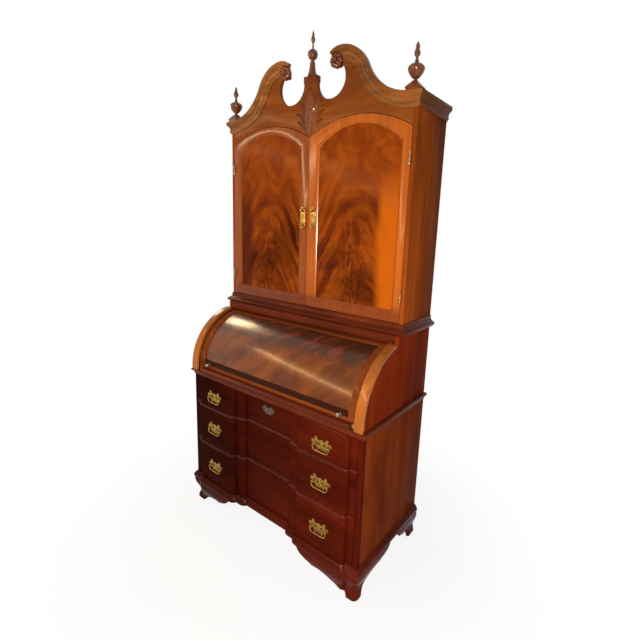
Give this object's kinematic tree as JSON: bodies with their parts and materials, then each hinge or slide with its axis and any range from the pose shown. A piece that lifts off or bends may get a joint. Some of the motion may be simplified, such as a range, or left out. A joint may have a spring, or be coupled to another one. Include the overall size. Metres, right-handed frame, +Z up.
{
  "type": "cylinder desk",
  "caption": "Block-front secretary desk: drawers with swinging bail pulls, a turning cylinder lid over a sliding writing board, and an arched-door bookcase under a swan-neck pediment.",
  "frame": {"origin": "middle of the floor plan, on the floor", "axes": "+Z up, the front faces -Y, +X is to the right as seen from the front"},
  "size_m": [1.0836, 0.553, 2.306],
  "materials": {
    "mahogany": "polished",
    "drawer_mahogany": "polished",
    "flame_mahogany": "polished",
    "plain_wood": "planed",
    "brass": "antique"
  },
  "bodies": {
    "case": {"base_sides": "mahogany", "front_stiles": "mahogany", "drawer_blades": "mahogany", "base_bottom": "plain_wood", "runners": "plain_wood", "back_boards": "plain_wood", "base_moulding": "mahogany", "front_feet": "mahogany", "rear_feet": "mahogany", "desk_board": "mahogany", "waist_moulding": "mahogany", "cylinder_sides": "mahogany", "arc_beads": "mahogany", "desk_top": "mahogany", "mid_moulding": "mahogany", "gallery": "mahogany", "lid_pivots": "brass", "bookcase_sides": "mahogany", "bookcase_boards": "plain_wood", "shelves": "plain_wood", "hinge_case_leaves": "brass", "scroll_mouldings": "mahogany", "side_cornices": "mahogany", "tympanum": "mahogany", "rosettes": "mahogany", "carved_spray": "mahogany", "finial_blocks": "mahogany", "corner_finials": "mahogany", "centre_plinth": "mahogany", "centre_finial": "mahogany"},
    "lid": {"lid_frame": "mahogany", "lid_panel": "flame_mahogany", "lid_quadrants": "mahogany", "lid_knobs": "brass"},
    "writing_slide": {"writing_slide": "mahogany"},
    "bottom_drawer": {"bottom_drawer_front": "drawer_mahogany", "bottom_drawer_box": "plain_wood", "bottom_drawer_plates": "brass"},
    "bottom_bail_left": {"bottom_bail_left": "brass"},
    "bottom_bail_right": {"bottom_bail_right": "brass"},
    "middle_drawer": {"middle_drawer_front": "drawer_mahogany", "middle_drawer_box": "plain_wood", "middle_drawer_plates": "brass"},
    "middle_bail_left": {"middle_bail_left": "brass"},
    "middle_bail_right": {"middle_bail_right": "brass"},
    "top_drawer": {"top_drawer_front": "drawer_mahogany", "top_drawer_box": "plain_wood", "top_drawer_plates": "brass"},
    "top_bail_left": {"top_bail_left": "brass"},
    "top_bail_right": {"top_bail_right": "brass"},
    "door_left": {"door_left_frame": "mahogany", "door_left_panel": "flame_mahogany", "door_left_hinges": "brass", "door_left_pull": "brass"},
    "door_left_bail": {"door_left_bail": "brass"},
    "door_right": {"door_right_frame": "mahogany", "door_right_panel": "flame_mahogany", "door_right_hinges": "brass", "door_right_pull": "brass"},
    "door_right_bail": {"door_right_bail": "brass"}
  },
  "joints": [
    {"name": "lid_turn", "type": "hinge", "parent": "case", "child": "lid", "pos_m": [0, 0.0285, 0.768], "axis": [-1, 0, 0], "range_deg": [0, 66]},
    {"name": "writing_slide_out", "type": "slide", "parent": "case", "child": "writing_slide", "axis": [0, -1, 0], "range_m": [0, 0.23]},
    {"name": "bottom_drawer_slide", "type": "slide", "parent": "case", "child": "bottom_drawer", "axis": [0, -1, 0], "range_m": [0, 0.3]},
    {"name": "bottom_bail_left_swing", "type": "hinge", "parent": "bottom_drawer", "child": "bottom_bail_left", "pos_m": [-0.338, -0.2695, 0.26904], "axis": [-1, 0, 0], "range_deg": [0, 85]},
    {"name": "bottom_bail_right_swing", "type": "hinge", "parent": "bottom_drawer", "child": "bottom_bail_right", "pos_m": [0.338, -0.2695, 0.26904], "axis": [-1, 0, 0], "range_deg": [0, 85]},
    {"name": "middle_drawer_slide", "type": "slide", "parent": "case", "child": "middle_drawer", "axis": [0, -1, 0], "range_m": [0, 0.3]},
    {"name": "middle_bail_left_swing", "type": "hinge", "parent": "middle_drawer", "child": "middle_bail_left", "pos_m": [-0.338, -0.2695, 0.47788], "axis": [-1, 0, 0], "range_deg": [0, 85]},
    {"name": "middle_bail_right_swing", "type": "hinge", "parent": "middle_drawer", "child": "middle_bail_right", "pos_m": [0.338, -0.2695, 0.47788], "axis": [-1, 0, 0], "range_deg": [0, 85]},
    {"name": "top_drawer_slide", "type": "slide", "parent": "case", "child": "top_drawer", "axis": [0, -1, 0], "range_m": [0, 0.3]},
    {"name": "top_bail_left_swing", "type": "hinge", "parent": "top_drawer", "child": "top_bail_left", "pos_m": [-0.338, -0.2695, 0.64448], "axis": [-1, 0, 0], "range_deg": [0, 85]},
    {"name": "top_bail_right_swing", "type": "hinge", "parent": "top_drawer", "child": "top_bail_right", "pos_m": [0.338, -0.2695, 0.64448], "axis": [-1, 0, 0], "range_deg": [0, 85]},
    {"name": "door_left_hinge", "type": "hinge", "parent": "case", "child": "door_left", "pos_m": [-0.4988, 0.0082, 1.5], "axis": [0, 0, -1], "range_deg": [0, 100]},
    {"name": "door_left_bail_swing", "type": "hinge", "parent": "door_left", "child": "door_left_bail", "pos_m": [-0.031, 0.0035, 1.529], "axis": [0, 0, -1], "range_deg": [0, 85]},
    {"name": "door_right_hinge", "type": "hinge", "parent": "case", "child": "door_right", "pos_m": [0.4988, 0.0082, 1.5], "axis": [0, 0, 1], "range_deg": [0, 100]},
    {"name": "door_right_bail_swing", "type": "hinge", "parent": "door_right", "child": "door_right_bail", "pos_m": [0.031, 0.0035, 1.529], "axis": [0, 0, -1], "range_deg": [0, 85]}
  ]
}
